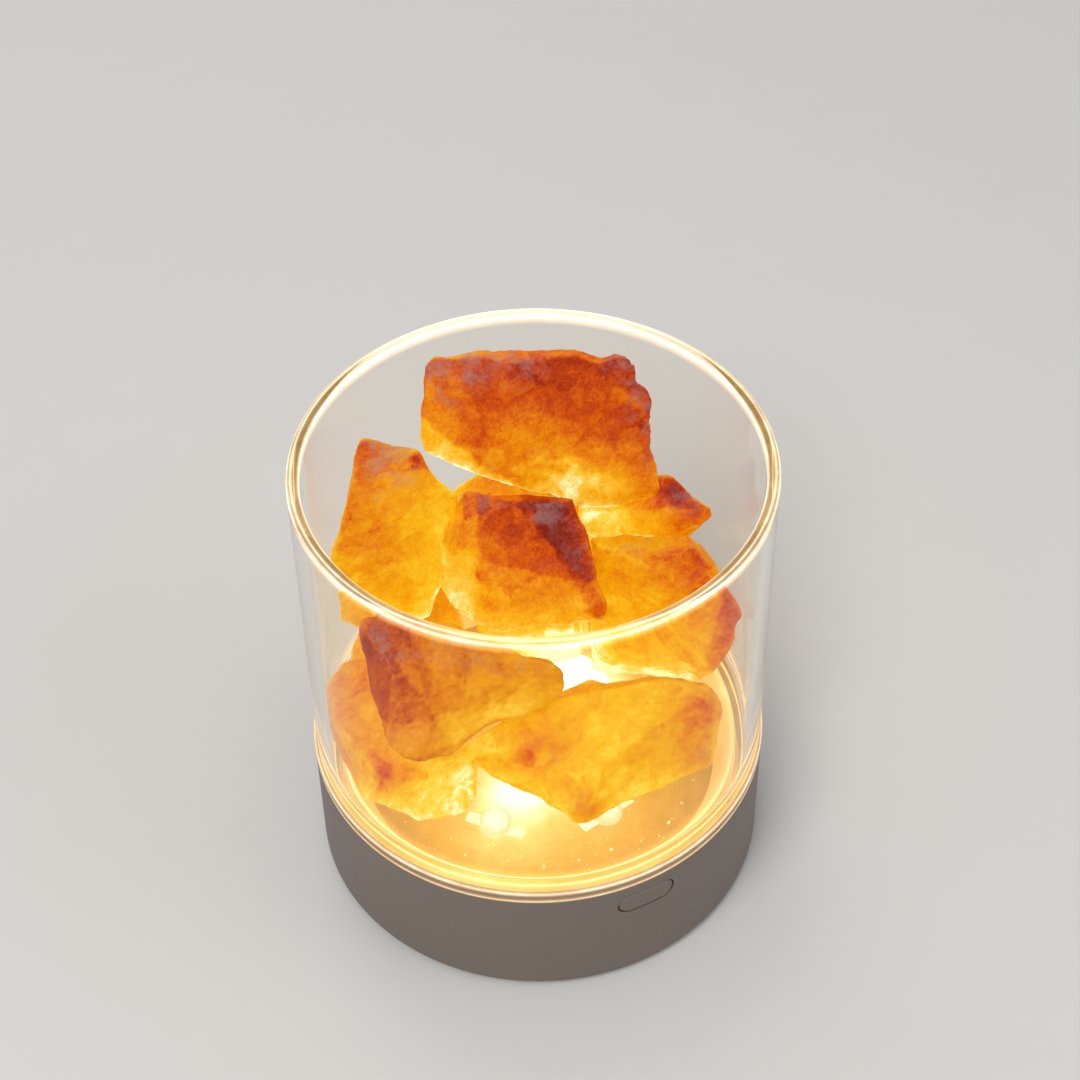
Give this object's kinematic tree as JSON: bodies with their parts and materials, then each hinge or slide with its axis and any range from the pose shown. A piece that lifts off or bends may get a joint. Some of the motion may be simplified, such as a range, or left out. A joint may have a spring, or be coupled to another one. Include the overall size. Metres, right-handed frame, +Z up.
{
  "type": "salt crystal lamp",
  "caption": "Small round table lamp: an open clear cup holds a heap of rough salt stones, lit from the plastic base below, which has a push button on its side.",
  "frame": {"origin": "on the table, on the lamp's axis, under the centre of the round base", "axes": "+Z up along the lamp's axis; the push button faces -Y and the USB socket faces +Y"},
  "size_m": [0.086, 0.0862, 0.094],
  "materials": {
    "clear": "clear polished",
    "shell_plastic": "fine matte grain",
    "foot_rubber": "matte",
    "screw_steel": "satin",
    "lit_board": "white solder mask",
    "led_white": "gloss",
    "led_lens": "clear, lit",
    "tinned_metal": "bright",
    "reflector_white": "gloss white",
    "switch_black": "matte",
    "circuit_board": "green solder mask",
    "foam": "foam",
    "battery_wrap": "foil pouch",
    "wire_red": "soft sleeve",
    "salt_red": "rough crystalline, glowing",
    "salt_amber": "rough crystalline, glowing"
  },
  "bodies": {
    "base": {"housing": "shell_plastic", "bottom_cover": "shell_plastic", "feet": "foot_rubber", "cover_screws": "screw_steel", "board_screws": "screw_steel", "led_board": "lit_board", "led_bodies": "led_white", "led_lenses": "led_lens", "led_leads": "tinned_metal", "reflector": "reflector_white", "switch_body": "switch_black", "switch_board": "circuit_board", "control_board": "circuit_board", "usb_shell": "tinned_metal", "usb_tongue": "switch_black", "board_parts": "switch_black", "battery_pad": "foam", "battery": "battery_wrap", "battery_wires": "wire_red", "led_wires": "wire_red"},
    "cup": {"cup": "clear", "stone_back_slab": "salt_red", "stone_centre": "salt_red", "stone_back_right": "salt_amber", "stone_left": "salt_amber", "stone_right": "salt_amber", "stone_front_left_top": "salt_red", "stone_front_left": "salt_amber", "stone_front_right": "salt_amber", "stone_under_left": "salt_amber", "stone_under_centre": "salt_amber", "stone_under_back": "salt_amber", "salt_crumbs": "salt_amber"},
    "button": {"button_cap": "shell_plastic", "switch_plunger": "switch_black"}
  },
  "joints": [
    {"name": "cup_lift", "type": "slide", "parent": "base", "child": "cup", "axis": [0, 0, 1], "range_m": [0, 0.03]},
    {"name": "button_press", "type": "slide", "parent": "base", "child": "button", "axis": [0, 1, 0], "range_m": [0, 0.0004], "stiffness_N_per_m": 2500}
  ]
}
